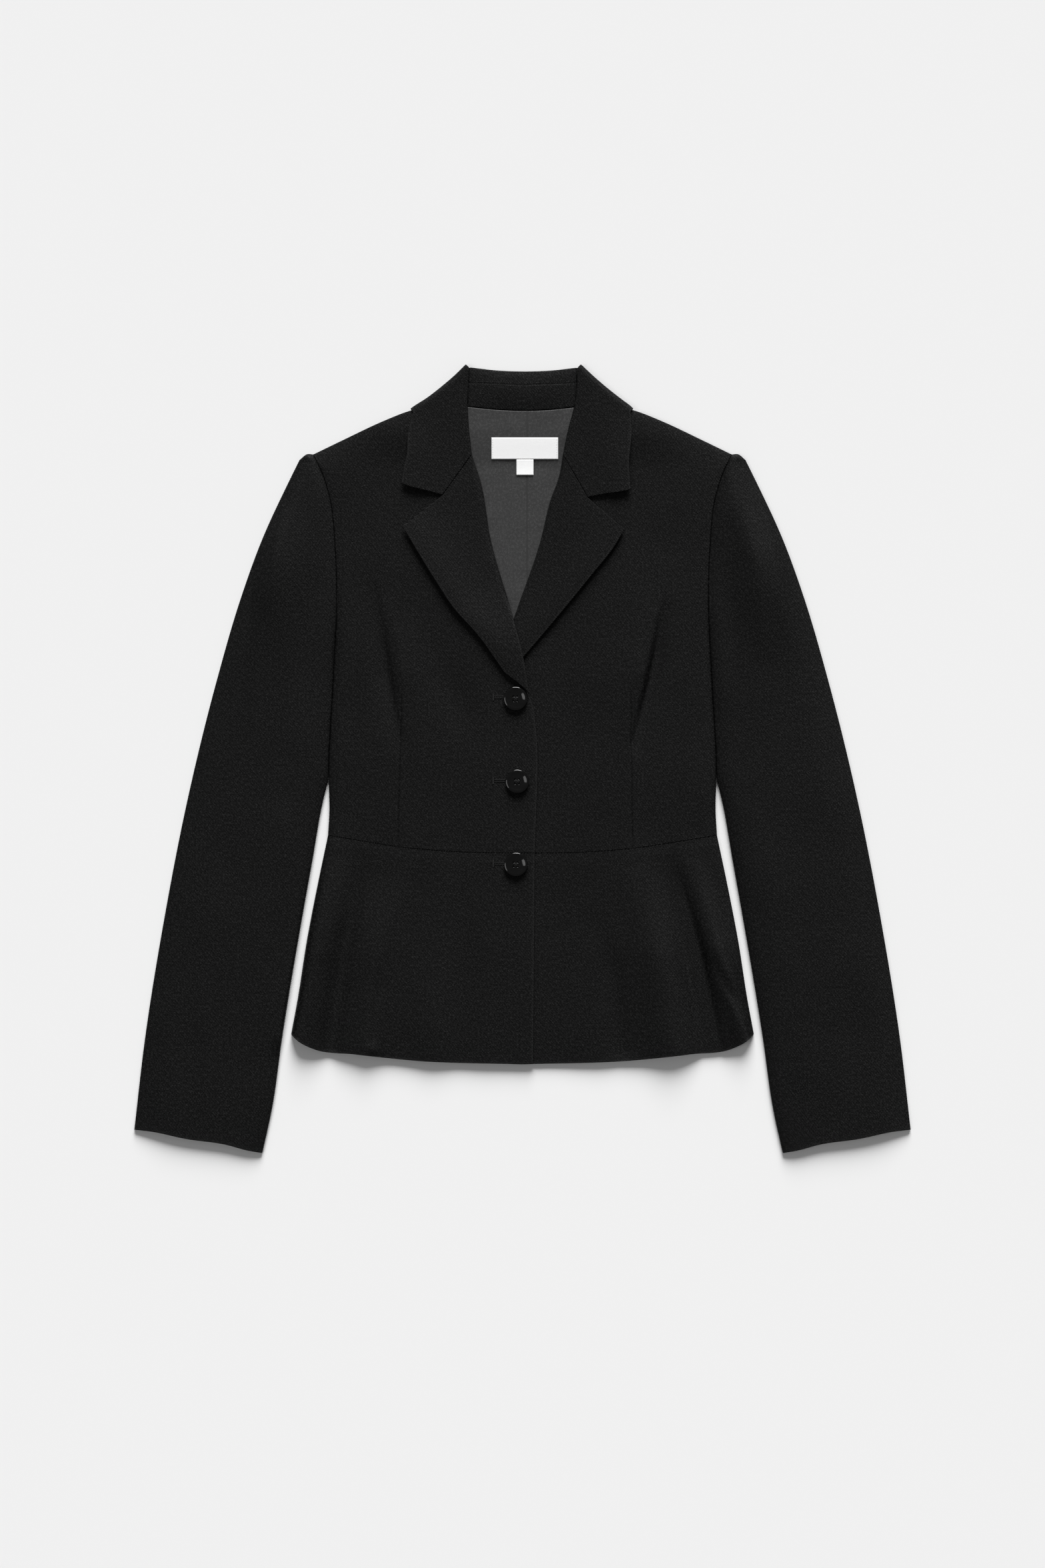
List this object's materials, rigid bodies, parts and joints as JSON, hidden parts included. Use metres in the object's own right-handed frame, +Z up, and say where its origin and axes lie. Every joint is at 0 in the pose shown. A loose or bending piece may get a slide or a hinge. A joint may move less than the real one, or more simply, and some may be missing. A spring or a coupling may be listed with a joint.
{
  "type": "peplum jacket",
  "caption": "Tailored peplum jacket with notched lapels, laid flat and buttoned, with long two-piece sleeves.",
  "frame": {"origin": "on the table, under the middle of the flat jacket", "axes": "+Y towards the neck, +X towards the wearer's left, +Z up, out of the front"},
  "size_m": [0.6754, 0.686, 0.0109],
  "materials": {
    "suiting": "matte black wool-blend suiting with a fine twill weave",
    "lining": "dark grey satin lining with a soft sheen",
    "woven_label": "white woven satin, bare",
    "button": "polished black resin"
  },
  "bodies": {
    "root": {"back": "suiting", "peplum_back": "suiting", "front_right": "suiting", "front_left": "suiting", "peplum_front_right": "suiting", "peplum_front_left": "suiting", "sleeve_top_right": "suiting", "sleeve_top_left": "suiting", "sleeve_under_right": "suiting", "sleeve_under_left": "suiting", "collar": "suiting", "collar_stand": "suiting", "lapel_right": "suiting", "lapel_left": "suiting", "lining_back": "lining", "neck_label": "woven_label", "size_tab": "woven_label", "button_top": "button", "button_middle": "button", "button_bottom": "button"}
  },
  "joints": []
}
